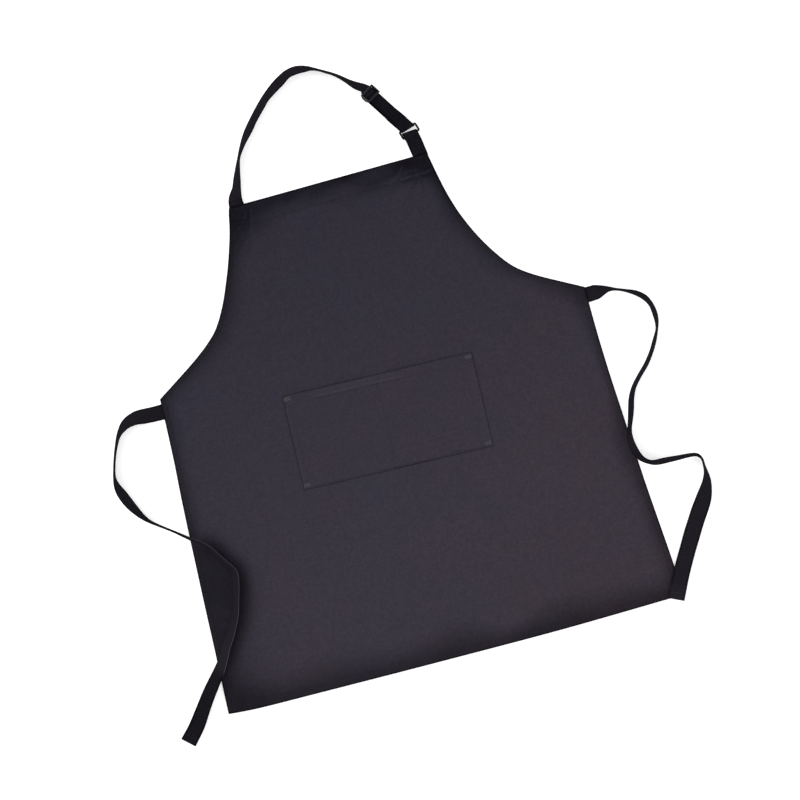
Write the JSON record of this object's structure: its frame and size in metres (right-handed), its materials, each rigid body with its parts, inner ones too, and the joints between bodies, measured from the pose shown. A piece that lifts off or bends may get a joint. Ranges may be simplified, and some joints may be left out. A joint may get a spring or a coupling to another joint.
{
  "type": "bib apron",
  "caption": "Black adult bib apron laid flat, with a divided front pocket, an adjustable webbing neck loop on a slider and a ring, and two long waist ties.",
  "frame": {"origin": "on the panel's back face, in the middle of the waist line between the two upper side corners", "axes": "+X to the right across the apron as it is looked at from the front, +Y up the apron towards the bib and the neck loop, +Z out of the front face; it lies on its back on Z=0"},
  "size_m": [0.8617, 0.9407, 0.0272],
  "materials": {
    "apron_cloth": "matt brushed twill, black with a faint blue-violet cast",
    "webbing": "flat woven tape, black, slight sheen",
    "thread": "black sewing thread, slightly lighter than the cloth",
    "buckle_plastic": "semi-gloss black moulded plastic"
  },
  "bodies": {
    "apron": {"front_panel": "apron_cloth", "bib_hem_stitch": "thread", "armhole_stitch_left": "thread", "armhole_stitch_right": "thread", "side_stitch_left": "thread", "side_stitch_right": "thread", "bottom_hem_stitch": "thread", "pocket": "apron_cloth", "pocket_bartack_top_left": "thread", "pocket_bartack_top_right": "thread", "pocket_bartack_bottom_left": "thread", "pocket_bartack_bottom_right": "thread", "divider_tack_top": "thread", "divider_tack_bottom": "thread", "pocket_divider_stitch": "thread", "pocket_mouth_stitch": "thread", "pocket_stitch_left": "thread", "pocket_stitch_right": "thread", "pocket_stitch_bottom": "thread", "neck_strap_sewn_end": "webbing", "ring_tab_sewn_end": "webbing", "neck_anchor_stitch": "thread", "tab_anchor_stitch": "thread", "tie_sewn_end_left": "webbing", "tie_sewn_end_right": "webbing", "tie_anchor_stitch_left": "thread", "tie_anchor_stitch_right": "thread"},
    "neck_loop": {"neck_strap": "webbing", "strap_return": "webbing", "ring_tab": "webbing"},
    "slider": {"slider_buckle": "buckle_plastic", "strap_end_stitch": "thread"},
    "ring_body": {"ring": "buckle_plastic"},
    "left_tie": {"tie_left": "webbing", "tie_end_stitch_left": "thread"},
    "right_tie": {"tie_right": "webbing", "tie_end_stitch_right": "thread"}
  },
  "joints": [
    {"name": "neck_loop_fold", "type": "hinge", "parent": "apron", "child": "neck_loop", "pos_m": [0, 0.2515, 0.0034], "axis": [0.9999, 0.0137, 0], "range_deg": [0, 130]},
    {"name": "slider_travel", "type": "slide", "parent": "neck_loop", "child": "slider", "axis": [0.545, -0.8384, 0], "range_m": [0, 0.03], "deforming": ["strap_return"]},
    {"name": "ring_tilt", "type": "hinge", "parent": "neck_loop", "child": "ring_body", "pos_m": [0.13686, 0.28527, 0.0035], "axis": [0.9553, 0.2957, 0], "range_deg": [0, 25], "deforming": ["strap_return"]},
    {"name": "tie_left_swing", "type": "hinge", "parent": "apron", "child": "left_tie", "pos_m": [-0.34033, -0.0195, 0.0007], "axis": [0, 0, -1], "range_deg": [0, 60]},
    {"name": "tie_right_swing", "type": "hinge", "parent": "apron", "child": "right_tie", "pos_m": [0.34253, -0.012, 0.0007], "axis": [0, 0, 1], "range_deg": [0, 60]}
  ]
}
